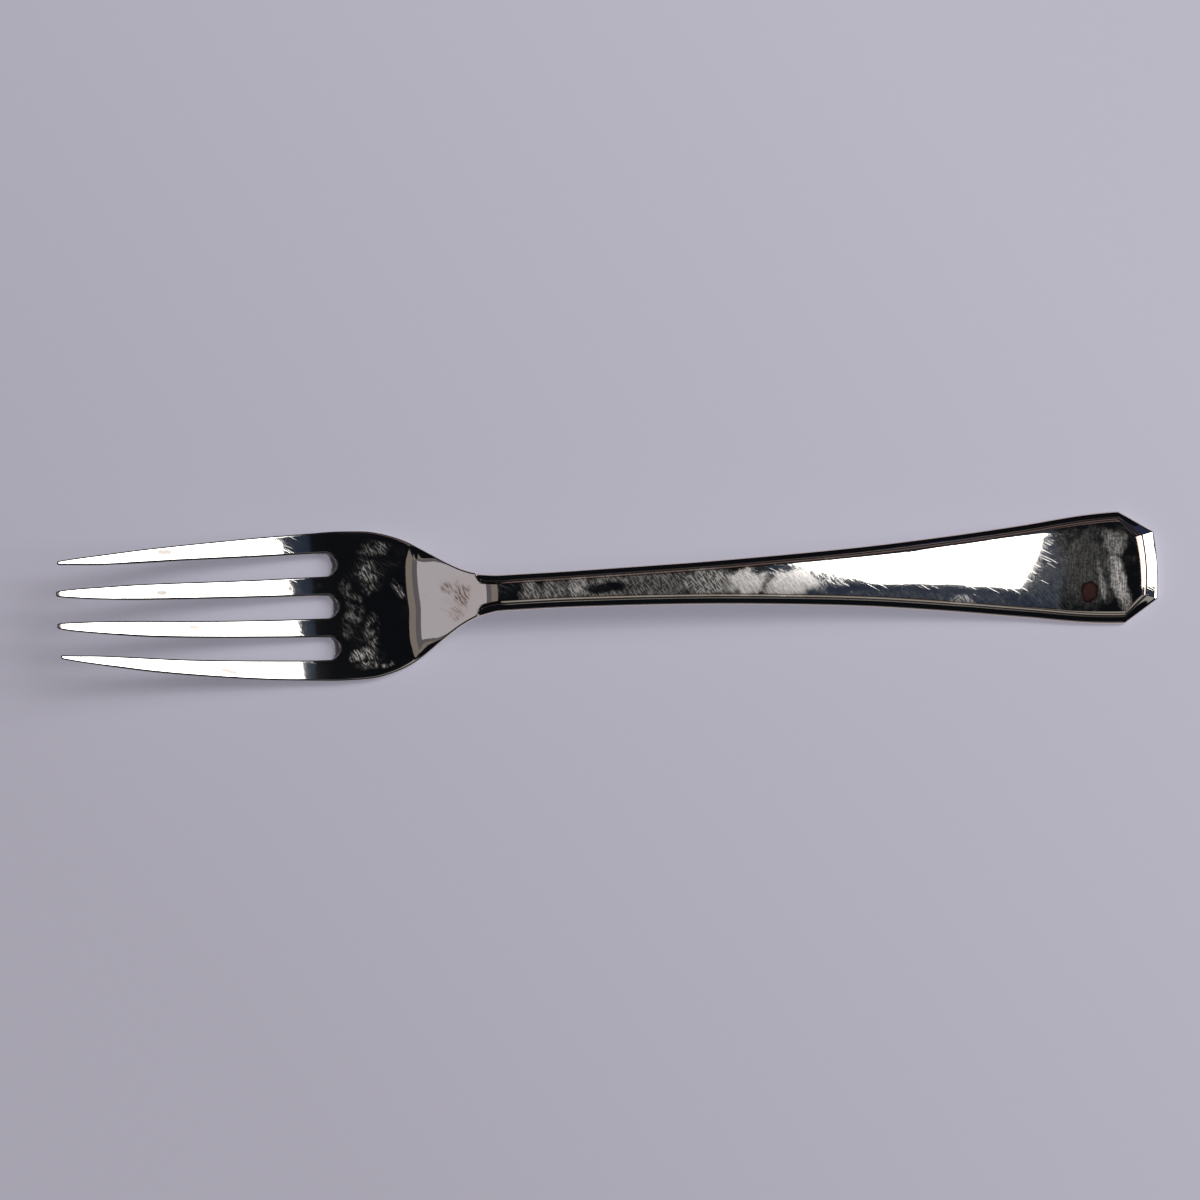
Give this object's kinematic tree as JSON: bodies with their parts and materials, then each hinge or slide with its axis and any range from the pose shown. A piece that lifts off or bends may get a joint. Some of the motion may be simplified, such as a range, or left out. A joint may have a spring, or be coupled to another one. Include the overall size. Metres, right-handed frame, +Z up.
{
  "type": "table fork",
  "caption": "One-piece table fork with slender curved tines, a round-shouldered head and a bordered handle that widens to clipped corners.",
  "frame": {"origin": "middle of the fork in plan, on the surface that it rests on", "axes": "+X towards the end of the handle, +Y across the head, +Z up, with the hollow side of the head facing up"},
  "size_m": [0.203, 0.0278, 0.0193],
  "materials": {
    "silver_plate": "polished silver plate with fine scratches and light tarnish"
  },
  "bodies": {
    "root": {"fork": "silver_plate"}
  },
  "joints": []
}
